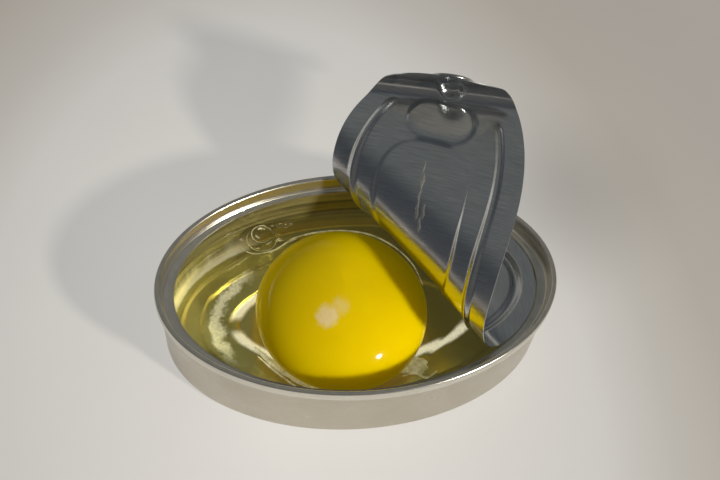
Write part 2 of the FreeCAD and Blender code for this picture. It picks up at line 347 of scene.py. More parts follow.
def paintLacquerLight(tree, solid, shade, shader, metallic):
    # painted reflections: darker and brighter rings round the wall
    parts = addNode(tree, "SeparateXYZ", links={0: solid})
    tall = addNode(tree, "Mapping", {"Scale": (18.0, 18.0, lacquerPaintedLight["reflectionRings"])}, {"Vector": solid})
    drawn = addNode(tree, "TexNoise", {"Scale": 1.0, "Detail": 2.0, "Roughness": 0.5}, {"Vector": tall})
    paintedRings = addNode(tree, "MapRange", {1: 0.40, 2: 0.60, 3: 0.45}, {0: drawn})
    low, high = lacquerPaintedLight["wallFrom"]
    raised = addNode(tree, "MapRange", {1: low * mm, 2: high * mm, **smoothly}, {0: parts.outputs["Z"]})
    base = lacquerPaintedLight["baseShade"]
    less = addNode(tree, "Math", {"operation": "SUBTRACT", 1: base}, {0: paintedRings})
    onWall = addNode(tree, "Math", {"operation": "MULTIPLY_ADD", 2: base}, {0: less, 1: raised})
    shade = addNode(tree, "VectorMath", {"operation": "SCALE"}, {0: shade, "Scale": onWall})
    # and the painted highlights: pale cream bands that lose the metal's look and glow
    marksAndPaintedLight = paintLacquerHighlights(tree, solid, parts)
    paintedHighlightColour = addNode(tree, "Mix", {"data_type": "RGBA", 7: hexColour(lacquerPaintedLight["cream"])}, {0: marksAndPaintedLight, 6: shade})
    metal = addNode(tree, "MapRange", {3: metallic, 4: 0.05}, {0: marksAndPaintedLight})
    glow = addNode(tree, "Math", {"operation": "MULTIPLY", 1: lacquerPaintedLight["glow"]}, {0: marksAndPaintedLight})
    shader.inputs["Emission Color"].default_value = hexColour(lacquerPaintedLight["glowColour"])
    tree.links.new(paintedHighlightColour.outputs[2], shader.inputs["Base Color"])
    tree.links.new(metal.outputs[0], shader.inputs["Metallic"])
    tree.links.new(glow.outputs[0], shader.inputs["Emission Strength"])


def rolledMetal(name, colour, darker, roughness, bumpShare, metallic=1.0, onSheet=False, withPaintedLight=False):
    # rolling marks pull the reflections into short fine lines, and handling dulls it in patches
    material, tree = startMaterial(name)
    place = addNode(tree, "TexCoord")
    width, length, darkest, palest = rolling["sheet" if onSheet else "drawn"]
    unit = 100 if onSheet else 1000      # the flat sheet's coordinates are in tenths of a metre
    across, along = unit / width, unit / length
    scale = (across, along, across) if onSheet else (along, along, across)
    source = place.outputs["UV" if onSheet else "Object"]
    marksAndPaintedLight = addNode(tree, "Mapping", {"Scale": scale}, {"Vector": source})
    grain = addNode(tree, "TexNoise", {"Scale": 1.0, "Detail": 3.0, "Roughness": 0.6}, {"Vector": marksAndPaintedLight})
    cloud = addNode(tree, "TexNoise", {"Scale": 90.0, "Detail": 4.0, "Roughness": 0.55},
                    {"Vector": place.outputs["Object"]})
    tint = addNode(tree, "Mix", {"data_type": "RGBA", 6: hexColour(colour), 7: hexColour(darker)}, {0: cloud})
    grainTint = addNode(tree, "MapRange", {1: 0.3, 2: 0.7, 3: darkest, 4: palest}, {0: grain})
    shade = addNode(tree, "VectorMath", {"operation": "SCALE"}, {0: tint.outputs[2], "Scale": grainTint})
    dull = addNode(tree, "MapRange", {1: 0.3, 2: 0.7, 3: roughness * 0.85, 4: roughness * 1.2}, {0: cloud})
    bump = addNode(tree, "Bump", {"Strength": bumpShare, "Distance": rolling["depth"] * mm}, {"Height": grain})
    shader = addNode(tree, "BsdfPrincipled", {"Metallic": metallic},
                     {"Base Color": shade, "Roughness": dull, "Normal": bump})
    # painted highlights and painted reflection rings on the lacquer
    if withPaintedLight:
        paintLacquerLight(tree, place.outputs["Object"], shade, shader, metallic)
    endMaterial(tree, shader)
    return material


made = {name: rolledMetal(name, **look) for name, look in metals.items()}
print("metals ready")


# the body: outside skin in tinplate, inside skin lacquered

def makeBody():
    outside = basePath(0)
    inside = basePath(1)
    rings = [ovalRing(p, tin["wave"]) for p in inside[::-1] + outside]
    points, faces = bridgeRings(rings)
    count = tin["segments"]
    slots = [1 if k < len(inside) - 1 else 0 for k in range(len(rings) - 1) for i in range(count)]
    capEnds(points, faces, count, (0, 0, inside[-1][2]), (0, 0, outside[-1][2]))
    slots += [1] * count + [0] * count
    skins = [made["satin_tinplate"], made["gold_lacquer_on_tinplate"]]
    setPiece(makeMesh("canBody", points, faces, skins, slots), "tinplate_body", "can_body")


# the end ring: double seam, wall inside it, and the ledge with its torn edge

endRing = {
    "sheet": 0.35,
    "wallGap": 0.05,
    "ledgeTop": 20.25,
    "ledgeBottom": 20.0,
    "chuckInset": 2.3,
    "scoreHalfLength": 47.6,
    "scoreHalfWidth": 30.4,
    "seamRounding": 0.55,
    "lipHeight": 0.12,  # the torn line stands up a little
    "lipWidth": 0.3,
    "drawnIn": 0.03,    # so that its unevenness stays within the seam's outside
}


def makeEndRing():
    e = endRing
    height = tin["height"]
    score = (tin["halfLength"] - e["scoreHalfLength"], tin["halfWidth"] - e["scoreHalfWidth"])
    corners = [
        even(0.12, tin["seamBottom"], 0.3),
        even(0.0, tin["seamBottom"] + 0.9, 0.4),
        even(0.0, height, e["seamRounding"]),
        even(tin["seamWidth"], height, e["seamRounding"]),
        even(e["chuckInset"] - 0.25, e["ledgeTop"] + 0.1, 0.5),
        even(e["chuckInset"] + 0.5, e["ledgeTop"] - 0.05, 0.25),
        (score[0] - e["lipWidth"], score[1] - e["lipWidth"], e["ledgeTop"] - 0.03, 0.1),
        (score[0], score[1], e["ledgeTop"] + e["lipHeight"], 0.0),
        (score[0], score[1], e["ledgeBottom"] + 0.05, 0.0),
        even(e["chuckInset"] - e["sheet"], e["ledgeBottom"], 0.2),
        even(tin["wallInsetTop"] + tin["sheet"] + e["wallGap"], tin["seamBottom"], 0.0),
    ]
    path = roundedPath(corners, True)
    rings = [ovalRing((p[0] + e["drawnIn"], p[1] + e["drawnIn"], p[2]), tin["wave"]) for p in path]
    points, faces = bridgeRings(rings, True)
    setPiece(makeMesh("endRing", points, faces, [made["seamed_tinplate"]]), "tinplate_end", "end_ring")


# the lid: a flat oval sheet rolled back over itself, with its pressed relief

lid = {
    "halfLength": 47.5,
    "halfWidth": 30.3,
    "sheet": 0.25,
    "rollHeading": -55.7,
    "rollTaper": -0.0070,                                # the roll opens towards its back end, per mm of axis
    "bends": ((-13.5, 23.2, 118.6), (5.2, 28.0, 54.7)),  # middle, width along the sheet, angle
    "tipCrease": -31.6,                                  # the tab lifts the tip from this line
    "tipSkew": 0.13,
    "tipBendRadius": 4.1,
    "tipBendAngle": 116.0,
    "tipBendTwist": -0.24,                               # change of that angle per mm across the lid
    "wellPlace": -26.5,
    "wellHalf": (5.8, 10.0),
    "wellEdge": 2.2,
    "wellDepth": 0.85,
    "outerBeadHalf": (42.3, 22.6),
    "outerBeadWidth": 3.9,
    "outerBeadDepth": 0.8,
    "outerBeadEnd": -31.0,
    "outerBeadFade": 3.0,
    "panelHalf": (20.0, 14.6),                           # inner panel, set back a little from the rest
    "panelSquare": 2.8,                                  # 2 is an ellipse, more is squarer
    "panelDepth": 0.5,
    "panelEdge": 1.5,
    "rivetPlace": -40.4,
    "bossPlace": -38.3,                                  # the sheet is dimpled round the rivet
    "bossRadius": 3.4,
    "bossRidge": (0.65, 1.3),                            # height and half width of its rim
    "bossHollow": (0.3, 1.6),                            # depth and slope of its middle
    "stations": 300,
    "acrossPoints": 190,
    "cut": 0.003,
    "rollStep": 0.1,
    "wave": 0.12,                                        # it doesn't spring back quite flat once it is peeled
}
rollAxis = (cos(radians(lid["rollHeading"])), sin(radians(lid["rollHeading"])))
acrossRoll = (rollAxis[1], -rollAxis[0])
rollStart = lid["bends"][0][0] - lid["bends"][0][1] / 2


def sheetAngle(s):
    return sum(radians(angle) * smoothStep((s - middle) / width + 0.5)
               for middle, width, angle in lid["bends"])


def sheetSection():
    # the bent sheet's section across the roll, as (run, rise) at every step
    run, rise = rollStart, 0.0
    line = [(run, rise)]
    for i in range(int((lid["halfLength"] * 1.6 - rollStart) / lid["rollStep"])):
        angle = sheetAngle(rollStart + (i + 0.5) * lid["rollStep"])
        run += cos(angle) * lid["rollStep"]
        rise += sin(angle) * lid["rollStep"]
        line.append((run, rise))
    return line


section = sheetSection()


def rolled(x, y, lift):
    # where a point of the flat lid lies once rolled; lift is along its outer side
    s = x * acrossRoll[0] + y * acrossRoll[1]
    along = x * rollAxis[0] + y * rollAxis[1]
    run, rise, angle = s, 0.0, 0.0
    if s > rollStart:
        ease = 1 + lid["rollTaper"] * along
        eased = rollStart + (s - rollStart) * ease
        place = (eased - rollStart) / lid["rollStep"]
        i = min(int(place), len(section) - 2)
        low, high = section[i], section[i + 1]
        run = rollStart + (low[0] + (high[0] - low[0]) * (place - i) - rollStart) / ease
        rise = (low[1] + (high[1] - low[1]) * (place - i)) / ease
        angle = sheetAngle(eased)
    run -= sin(angle) * lift
    rise += cos(angle) * lift
    return Vector((acrossRoll[0] * run + rollAxis[0] * along,
                   acrossRoll[1] * run + rollAxis[1] * along, endRing["ledgeBottom"] + rise))


def lidPoint(x, y, lift):
    crease = lid["tipCrease"] + lid["tipSkew"] * y
    past = crease - x
    if past <= 0:
        return rolled(x, y, lift)
    start = rolled(crease, y, 0)
    outwards = (rolled(crease - 0.5, y, 0) - rolled(crease + 0.5, y, 0)).normalized()
    upwards = (rolled(crease, y, 0.5) - rolled(crease, y, -0.5)).normalized()
    full = radians(lid["tipBendAngle"] + lid["tipBendTwist"] * y)
    radius = lid["tipBendRadius"]
    turn = min(past / radius, full)
    rest = max(past - radius * full, 0)
    reach = radius * sin(turn) + rest * cos(turn)
    drop = radius * (1 - cos(turn)) + rest * sin(turn)
    normal = upwards * cos(turn) + outwards * sin(turn)
    return start + outwards * reach - upwards * drop + normal * lift


def ridge(distance, half):
    return cos(pi / 2 * distance / half) ** 2 if abs(distance) < half else 0.0


def ovalDistance(x, y, half, square=2.0):
    # about how far (x, y) is outside the oval
    e = (abs(x / half[0]) ** square + abs(y / half[1]) ** square) ** (1 / square)
    return (e - 1) * (hypot(x, y) / e) if e > 1e-6 else -min(half)


def lidRelief(x, y):
    # pressed beads, finger well and inner panel; negative is towards the inside of the tin
    openEnd = smoothStep((x - lid["outerBeadEnd"]) / lid["outerBeadFade"])
    bead = lid["outerBeadDepth"] * ridge(ovalDistance(x, y, lid["outerBeadHalf"]),
                                         lid["outerBeadWidth"] / 2) * openEnd
    side = max(abs(y) - (lid["wellHalf"][1] - lid["wellHalf"][0]), 0)
    wellGap = hypot(x - lid["wellPlace"], side) - lid["wellHalf"][0]
    well = lid["wellDepth"] * smoothStep(0.5 - wellGap / lid["wellEdge"])
    panel = lid["panelDepth"] * smoothStep(0.5 - ovalDistance(x, y, lid["panelHalf"], lid["panelSquare"])
                                           / lid["panelEdge"])
    boss = hypot((x - lid["bossPlace"]) * 0.9, y) - lid["bossRadius"]
    (rim, rimHalf), (hollow, slope) = lid["bossRidge"], lid["bossHollow"]
    button = rim * ridge(boss, rimHalf) - hollow * smoothStep(-boss / slope)
    return -bead - well + panel - button


def lidLift(x, y, waveShare=1.0):
    # how far the pressed and wavy sheet lies from the smooth roll
    return lidRelief(x, y) + lid["wave"] * noise.noise(Vector((x * 0.06, y * 0.06, 4.2))) * waveShare


def makeLid():
    points, flat = [], []
    stations, across = lid["stations"], lid["acrossPoints"]
    for skin in (0, 1):
        for i in range(stations + 1):
            x = -lid["halfLength"] * (1 - lid["cut"]) * cos(pi * i / stations)
            half = lid["halfWidth"] * sqrt(1 - (x / lid["halfLength"]) ** 2)
            for j in range(across + 1):
                y = half * sin(pi / 2 * (2 * j / across - 1))
                rim = min(1.0, (1 - hypot(x / lid["halfLength"], y / lid["halfWidth"])) * 12)
                points.append(lidPoint(x, y, skin * lid["sheet"] + lidLift(x, y, max(rim, 0))))
                flat.append((x / 100, y / 100))
    row = across + 1
    skinSize = row * (stations + 1)
    faces = []
    for skin in (0, 1):
        base = skin * skinSize
        for i in range(stations):
            for j in range(across):
                a = base + i * row + j
                faces.append((a, a + 1, a + row + 1, a + row))
    # the cut edge joins the two skins
    rim = list(range(row)) + [i * row + across for i in range(1, stations + 1)]
    rim += [stations * row + j for j in range(across - 1, -1, -1)]
    rim += [i * row for i in range(stations - 1, 0, -1)]
    for k, a in enumerate(rim):
        b = rim[(k + 1) % len(rim)]
        faces.append((a, b, b + skinSize, a + skinSize))
    piece = makeMesh("peeledLid", points, faces, [made["rolled_lid_tinplate"]], flat=flat, sharp=50)
    setPiece(piece, "tinplate_lid", "peeled_lid")


# egg white that ran down the lid's inner side: middle, half length, half width, height

drips = ((-9.2, -0.1, 2.2, 0.9, 0.7), (-12.6, 0.4, 2.2, 0.3, 0.3), (-5.6, -0.5, 2.9, 0.36, 0.35),
         (-1.4, -0.7, 2.4, 0.55, 0.35), (-1.8, -2.6, 2.0, 0.6, 0.3), (1.6, -2.0, 2.0, 0.5, 0.3))


def makeDrips(material):
    points, faces = [], []
    count, rows = 40, 10
    sunk = 0.05              # each drop starts within the sheet
    for x, y, halfLength, halfWidth, height in drips:
        rings = []
        for k in range(rows + 1):
            lean = pi / 2 * k / rows
            ring = []
            for i in range(count):
                turn = tau * i / count
                u = x + halfLength * cos(lean) * cos(turn)
                v = y + halfWidth * cos(lean) * sin(turn) * (1 + 0.25 * cos(turn))
                v += 0.12 * sin(2.1 * u)
                ring.append(lidPoint(u, v, lidLift(u, v) + sunk - (height + sunk) * sin(lean)))
            rings.append(ring)
        more, quads = bridgeRings(rings[:-1])
        capEnds(more, quads, count, lidPoint(x, y, lidLift(x, y) + sunk), rings[-1][0])
        addPart(points, faces, more, quads)
    setPiece(makeMesh("drips", points, faces, [material], sharp=80), "white")


# the ring pull and its rivet, on the lid's outer side

tab = {
    "noseRadius": 5.6,
    "ringRadius": 8.45,
    "ringReach": 12.5,
    "holeHalf": (5.6, 6.2),
    "holeReach": 13.0,
    "thick": 1.1,
    "web": 0.45,
    "hem": 1.7,
    "gap": 0.16,
}


def onStrip(points):
    # points drawn with the rivet at the origin, the ring along +x and the upper side +z
    near = 0.5
    x = lid["rivetPlace"]
    place = lidPoint(x, 0, lid["sheet"])
    toTip = (lidPoint(x - near, 0, 0) - lidPoint(x + near, 0, 0)).normalized()
    edge = lidPoint(x, near, 0) - lidPoint(x, -near, 0)
    outward = edge.cross(toTip).normalized()
    ringWay = -toTip
    side = outward.cross(ringWay)
    return [place + ringWay * p[0] + side * p[1] + outward * p[2] for p in points]


def tabOutline(inset, count):
    # the tab's outline drawn in by inset: small circle, tangents, large circle
    small, large, reach = tab["noseRadius"] - inset, tab["ringRadius"] - inset, tab["ringReach"]
    lean = asin((large - small) / reach)
    points = []
    top = pi / 2 + lean
    for i in range(count):
        turn = tau * i / count
        # angle sweep: large circle from -top to top, small circle for the rest
        if turn < top or turn > tau - top:
            points.append((reach + large * cos(turn), large * sin(turn)))
        else:
            points.append((small * cos(turn), small * sin(turn)))
    return points


def makeTab():
    count = 180
    thick, web, hem = tab["thick"], tab["web"], tab["hem"]
    rows = []
    # section from the web's middle out round the curled hem and back under
    for inset, z in ((hem, (thick + web) / 2), (hem - 0.15, thick - 0.12), (hem - 0.45, thick - 0.01),
                     (hem / 2, thick), (0.4, thick - 0.03), (0.12, thick - 0.2), (0.0, thick / 2),
                     (0.12, 0.2), (0.4, 0.03), (hem / 2, 0.0), (hem - 0.45, 0.01), (hem - 0.15, 0.12),
                     (hem, (thick - web) / 2)):
        rows.append([(x, y, z + tab["gap"]) for x, y in tabOutline(inset, count)])
    hole = []
    for grow, z in ((0.9, (thick - web) / 2), (0.7, 0.12), (0.45, 0.05), (0.15, 0.12), (0.0, thick / 2),
                    (0.15, thick - 0.12), (0.45, thick - 0.05), (0.7, thick - 0.12), (0.9, (thick + web) / 2)):
        half = (tab["holeHalf"][0] + grow, tab["holeHalf"][1] + grow)
        hole.append(levelRing(count, (tab["holeReach"], 0), half, z + tab["gap"]))
    points, faces = bridgeRings(rows)
    shift = len(points)
    addPart(points, faces, *bridgeRings(hole))
    # the web between hem and hole, upper and lower side
    for a, b in ((0, shift + (len(hole) - 1) * count), ((len(rows) - 1) * count, shift)):
        for i in range(count):
            j = (i + 1) % count
            faces.append((a + i, a + j, b + j, b + i))
    piece = makeMesh("ringPull", onStrip(points), faces, [made["stamped_tab_steel"]], sharp=50)
    setPiece(piece, "tab_metal", "ring_pull")


def makeRivet():
    count = 48
    thick, gap = tab["thick"], tab["gap"]
    profile = [(1.7, 0.02), (1.7, thick * 0.7 + gap), (2.45, gap + thick * 0.7), (2.7, thick + 0.1),
               (2.68, thick + 0.35), (2.45, thick + 0.52), (1.9, thick + 0.58), (1.5, thick + 0.5),
               (1.2, thick + 0.38), (0.5, thick + 0.34)]
    points, faces = bridgeRings([levelRing(count, (0, 0), (r, r), z) for r, z in profile])
    capEnds(points, faces, count, (0, 0, profile[0][1]), (0, 0, profile[-1][1]))
    setPiece(makeMesh("rivetHead", onStrip(points), faces, [made["stamped_tab_steel"]]), "tab_metal", "rivet")


# the yolk

yolk = {
    "centre": (-3.75, -1.9),
    "middle": 12.0,
    "half": (22.7, 24.0),
    "dome": 13.0,
    "belly": 10.6,
    "rest": 2.4,         # it rests on the bead of the base
    "sag": 2.0,          # its shoulder hangs lower on the right
    "sagTurn": 25.0,
    "colour": "F3D200",
    "deepColour": "EDC800",
    # the germ disc under the skin: middle, reach of its core and of its edge, strength
    "spot": ((-9.0, -10.4), 1.8, 3.8, 0.95),
    "spotTail": ((-5.6, -8.0), 0.4, 3.4, 0.45),
    "spotDrift": 4.2,
    "spotColour": "F3DDB4",
    "roughness": 0.09,
    "innerGlow": 0.075,  # light that reaches its far side through it
}


def yolkRadius(turn):
    # a yolk in its skin is never quite round
    return 1 + 0.006 * sin(2 * turn + 0.6) + 0.004 * sin(3 * turn - 1.1)


def yolkPoint(turn, lean):
    # lean runs from 90 at the crown to below the middle
    rise = yolk["dome"] if lean >= 0 else yolk["belly"]
    flatness = cos(radians(lean))
    z = yolk["middle"] + rise * sin(radians(lean))
    grow = yolkRadius(turn)
    if lean > 0:
        drop = yolk["sag"] * max(cos(turn - radians(yolk["sagTurn"])), 0) ** 2
        z -= drop * sin(radians(2 * lean))
    return Vector((yolk["centre"][0] + yolk["half"][0] * grow * flatness * cos(turn),
                   yolk["centre"][1] + yolk["half"][1] * grow * flatness * sin(turn), z))


def yolkLean(z):
    # the lean at which the yolk's underside reaches height z
    return -degrees(asin((yolk["middle"] - z) / yolk["belly"]))


def makeYolk(material):
    count = 240
    low = yolkLean(yolk["rest"])
    leans = [89.2 - (89.2 - low) * k / 150 for k in range(151)]
    rings = [[yolkPoint(tau * i / count, lean) for i in range(count)] for lean in leans]
    points, faces = bridgeRings(rings)
    x, y = yolk["centre"]
    capEnds(points, faces, count, (x, y, yolk["middle"] + yolk["dome"]), (x, y, yolk["rest"]))
    setPiece(makeMesh("eggYolk", points, faces, [material], sharp=60), "yolk", "egg_yolk")


def yolkMaterial():
    # a clear skin stretched over thick yolk: deep yellow that glows a little, with a wet gloss
    material, tree = startMaterial("yolk_in_its_membrane")
    solid = addNode(tree, "TexCoord").outputs["Object"]
    cloud = addNode(tree, "TexNoise", {"Scale": 120.0, "Detail": 3.0}, {"Vector": solid})
    yellows = {6: hexColour(yolk["colour"]), 7: hexColour(yolk["deepColour"])}
    base = addNode(tree, "Mix", {"data_type": "RGBA", **yellows}, {0: cloud})
    # the germ disc: two soft lobes with a torn edge
    wobble = addNode(tree, "TexNoise", {"Scale": 260.0, "Detail": 5.0, "Roughness": 0.6, "Distortion": 1.5},
                     {"Vector": solid})
    drift = addNode(tree, "VectorMath", {"operation": "SCALE", "Scale": yolk["spotDrift"] * mm},
                    {0: wobble.outputs["Color"]})
    moved = addNode(tree, "VectorMath", {"operation": "ADD"}, {0: solid, 1: drift})
    moved = addNode(tree, "VectorMath", {"operation": "MULTIPLY", 1: (1, 1, 0)}, {0: moved})
    lobes = []
    for middle, core, edge, strength in (yolk["spot"], yolk["spotTail"]):
        at = [(c + yolk["spotDrift"] / 2) * mm for c in middle] + [0.0]
        gap = addNode(tree, "VectorMath", {"operation": "DISTANCE", 1: at}, {0: moved})
        lobes.append(addNode(tree, "MapRange", {1: core * mm, 2: edge * mm, 3: strength, 4: 0.0, **smoothly},
                             {0: gap.outputs["Value"]}))
    both = addNode(tree, "Math", {"operation": "MAXIMUM"}, {0: lobes[0], 1: lobes[1]})
    swirl = addNode(tree, "TexNoise", {"Scale": 900.0, "Detail": 2.0, "Distortion": 3.0}, {"Vector": solid})
    thin = addNode(tree, "MapRange", {1: 0.40, 2: 0.55, 3: 0.72}, {0: swirl})
    spot = addNode(tree, "Math", {"operation": "MULTIPLY"}, {0: both, 1: thin})
    colour = addNode(tree, "Mix", {"data_type": "RGBA", 7: hexColour(yolk["spotColour"])},
                     {0: spot, 6: base.outputs[2]})
    shader = addNode(tree, "BsdfPrincipled",
                     {"Roughness": yolk["roughness"], "Subsurface Weight": 0.6, "Subsurface Scale": 0.009,
                      "Subsurface Radius": (1.0, 0.95, 0.05), "IOR": 1.36, "Specular IOR Level": 0.22,
                      "Emission Color": hexColour("FFE600"), "Emission Strength": yolk["innerGlow"]},
                     {"Base Color": colour.outputs[2]})
    endMaterial(tree, shader)
    return material


# the white

white = {
    "level": 9.0,
    "reachIntoMetal": 0.08,     # it reaches just into the wall and the yolk, so no air gap shows
    "reachIntoBase": 0.45,      # and by this share of the sheet into the base
    "wallClimb": 0.9,
    "wallWidth": 1.5,
    "yolkClimb": 0.8,
    "yolkWidth": 1.7,
    "tint": "F2F3C2",
    "ior": 1.35,
    "cloudGlow": 0.03,         # painted light: it glows faintly for the light that its slight cloudiness scatters
    "thickHalf": (32.5, 24.5),  # the thick white's own edge
    "thickShift": 2.5,
    "thickRise": 0.4,
    "thickEdge": 1.8,
    "thickUneven": 1.6,
    "ripple": 0.10,
}
foam = {
    "middle": (-22.9, 24.1),  # the largest bubble, by the back wall
    "radius": 4.1,
    "climb": 0.7,
    "climbWidth": 0.6,
    "sunk": 0.1,              # share of a bubble's radius below the level
    "skin": 0.06,
    "small": 10,
    "smallFrom": 107.0,       # the small ones lie along the wall between these angles
    "smallTo": 127.0,
    "smallRadius": (0.4, 1.4),
}


def whiteMaterial():
    # thin egg white: clear and faintly green-yellow, like weak syrup over the lacquer, with a faint glow of
    # painted light
    material, tree = startMaterial("thin_egg_white")
    shader = addNode(tree, "BsdfPrincipled",
                     {"Base Color": hexColour(white["tint"]), "Roughness": 0.02, "IOR": white["ior"],
                      "Transmission Weight": 1.0, "Emission Color": hexColour("D8D08A"),
                      "Emission Strength": white["cloudGlow"]})
    clear = addNode(tree, "BsdfTransparent", {"Color": hexColour("FAF7D8")})
    path = addNode(tree, "LightPath")
    endMaterial(tree, addNode(tree, "MixShader", links={0: path.outputs["Is Shadow Ray"], 1: shader, 2: clear}))
    return material


def innerWall(z):
    # inset of the inside of the wall at height z
    share = (z - tin["sheet"]) / (tin["seamBottom"] - tin["sheet"])
    return tin["sheet"] + tin["wallInsetFoot"] + (tin["wallInsetTop"] - tin["wallInsetFoot"]) * share


def whiteLevel(x, y):
    inset = innerWall(white["level"])
    wallGap = -ovalDistance(x, y, (tin["halfLength"] - inset, tin["halfWidth"] - inset))
    spread = cos(radians(yolkLean(white["level"])))
    yolkX, yolkY = x - yolk["centre"][0], y - yolk["centre"][1]
    yolkGap = ovalDistance(yolkX, yolkY, (yolk["half"][0] * spread, yolk["half"][1] * spread))
    rise = white["wallClimb"] * exp(-max(wallGap, 0) / white["wallWidth"])
    rise += white["yolkClimb"] * exp(-max(yolkGap, 0) / white["yolkWidth"])
    rise += white["ripple"] * noise.noise(Vector((x * 0.12, y * 0.12, 1.7)))
    # the thick white round the yolk ends in a low soft step
    edge = ovalDistance(yolkX + white["thickShift"], y, white["thickHalf"])
    edge += white["thickUneven"] * noise.noise(Vector((x * 0.1, y * 0.1, 8.1)))
    rise += white["thickRise"] * smoothStep(0.5 - edge / white["thickEdge"])
    # and it climbs the largest bubble
    ring = hypot(x - foam["middle"][0], y - foam["middle"][1]) - foam["radius"]
    rise += foam["climb"] * exp(-abs(ring) / foam["climbWidth"])
    return white["level"] + rise


def makeWhite(material):
    # rings: up the yolk's side from its foot, over the surface, down the wall and in over the base
    count = tin["segments"]
    grow = white["reachIntoMetal"]
    middleX, middleY = yolk["centre"]
    low, high = yolkLean(yolk["rest"]), yolkLean(white["level"] + white["yolkClimb"])
    rings = []
    upSteps, outSteps = 24, 60
    for k in range(upSteps + 1):
        ring = []
        for i in range(count):
            p = yolkPoint(tau * i / count, low + (high - low) * k / upSteps)
            ring.append(p + Vector((middleX - p.x, middleY - p.y, 0)).normalized() * grow)
        rings.append(ring)
    contact = rings[-1]
    wallInset = innerWall(white["level"] + white["wallClimb"]) - grow
    wallRing = ovalRing((wallInset, wallInset, 0))
    for k in range(1, outSteps + 1):
        # the steps are short at both ends, where the surface curves up
        share = 0.5 - 0.5 * cos(pi * k / outSteps)
        ring = []
        for p, q in zip(contact, wallRing):
            p = p.lerp(Vector(q), share)
            ring.append(Vector((p.x, p.y, whiteLevel(p.x, p.y))))
        rings.append(ring)
    for p in contact:
        p.z = whiteLevel(p.x, p.y)
    inside = basePath(1)
    for p, q in zip(inside, basePath(0)):
        if p[2] < white["level"]:
            rings.append([Vector(r) for r in ovalRing(p.lerp(q, white["reachIntoBase"]), tin["wave"])])
    points, faces = bridgeRings(rings)
    bottom = inside[-1][2] - white["reachIntoBase"] * tin["sheet"]
    capEnds(points, faces, count, (middleX, middleY, yolk["rest"]), (0, 0, bottom))
    setPiece(makeMesh("eggWhite", points, faces, [material], sharp=60), "white", "egg_white")


# froth and threads on the white

def bubbleMaterial():
    # a film too thin to see but for its edge and the lamp's small mirror image
    material, tree = startMaterial("bubble_film")
    endMaterial(tree, addNode(tree, "BsdfPrincipled", {
        "Base Color": hexColour("FFFFFA"), "Roughness": 0.06, "IOR": 1.34, "Transmission Weight": 1.0}))
    return material


def dripMaterial():
    # a clear wet trail: little but glints and a faint grey veil over the metal
    material, tree = startMaterial("wet_trail")
    endMaterial(tree, addNode(tree, "BsdfPrincipled", {
        "Base Color": hexColour("A3A39C"), "Roughness": 0.07, "IOR": 1.4, "Specular IOR Level": 0.9,
        "Alpha": 0.34, "Coat Weight": 1.0, "Coat Roughness": 0.04}))
    return material


def threadMaterial():
    # threads of thicker white: milky, half clear and wet, with a faint glow of painted light
    material, tree = startMaterial("milky_thread_with_painted_glow")
    solid = addNode(tree, "TexCoord").outputs["Object"]
    cloud = addNode(tree, "TexNoise", {"Scale": 600.0, "Detail": 3.0}, {"Vector": solid})
    body = addNode(tree, "MapRange", {1: 0.35, 2: 0.65, 3: 0.25, 4: 0.85}, {0: cloud})
    shader = addNode(tree, "BsdfPrincipled",
                     {"Base Color": hexColour("F4EFD6"), "Roughness": 0.18, "IOR": 1.36,
                      "Emission Color": hexColour("EFE6B4"), "Emission Strength": 0.22},
                     {"Alpha": body})
    endMaterial(tree, shader)
    return material


def bubbleRings(middle, radius, count, rows):
    # a dome's outer and inner skins, joined at the waterline
    rings = []
    for skin, order in ((0.0, range(rows + 1)), (foam["skin"], range(rows, -1, -1))):
        for k in order:
            lean = radians(-20 + 109.5 * k / rows)
            r = (radius - skin) * cos(lean)
            rings.append(levelRing(count, middle, (r, r), middle[2] + (radius - skin) * sin(lean)))
    return rings


bubbleSpots = [(foam["middle"][0], foam["middle"][1], foam["radius"])]


def makeFoam(material):
    points, faces = [], []
    span = foam["smallTo"] - foam["smallFrom"]
    for k in range(foam["small"]):
        turn = radians(foam["smallFrom"] + span * (k + 0.5 * random.random()) / foam["small"])
        radius = random.uniform(*foam["smallRadius"])
        inset = innerWall(white["level"]) + radius + 0.5 + 1.2 * random.random()
        x, y = (tin["halfLength"] - inset) * cos(turn), (tin["halfWidth"] - inset) * sin(turn)
        if dist((x, y), foam["middle"]) > radius + foam["radius"] + 0.2:
            bubbleSpots.append((x, y, radius))
    for x, y, radius in bubbleSpots:
        count = 96 if radius > 3 else 32
        rings = bubbleRings((x, y, whiteLevel(x, y) - foam["sunk"] * radius), radius, count, count // 4)
        addPart(points, faces, *bridgeRings(rings, True))
    setPiece(makeMesh("bubbles", points, faces, [material], sharp=80), "white")


threads = {
    # each thread: radius, then its course over the white's surface
    "besideYolk": (0.85, ((-27.6, -9.8), (-24.6, -13.6), (-20.9, -17.6), (-16.6, -21.4), (-11.8, -24.3))),
    "besideYolkInner": (0.3, ((-27.0, -12.6), (-23.4, -16.9), (-19.4, -21.0), (-15.6, -24.4))),
    "roundBubble": (0.26, ((-13.2, 23.4), (-16.4, 22.0), (-20.0, 19.9), (-24.4, 19.2), (-27.6, 20.6),
                           (-29.3, 22.8))),
    # a pale line along the yolk's back: painted reflection of the white's meniscus there
    "behindYolk": (0.3, ((-21.2, 19.0), (-17.7, 21.3), (-13.6, 23.8), (-7.3, 25.2), (-1.0, 25.4), (4.7, 24.2),
                         (9.9, 21.6), (14.3, 17.5), (17.7, 12.1), (19.4, 5.4))),
    "rightFront": (0.3, ((10.0, -21.6), (13.6, -21.0), (16.4, -22.4), (19.4, -20.6))),
}
tornSheet = {"middle": (12.6, -18.6), "half": (4.6, 2.6), "thick": 0.12, "torn": 0.28}
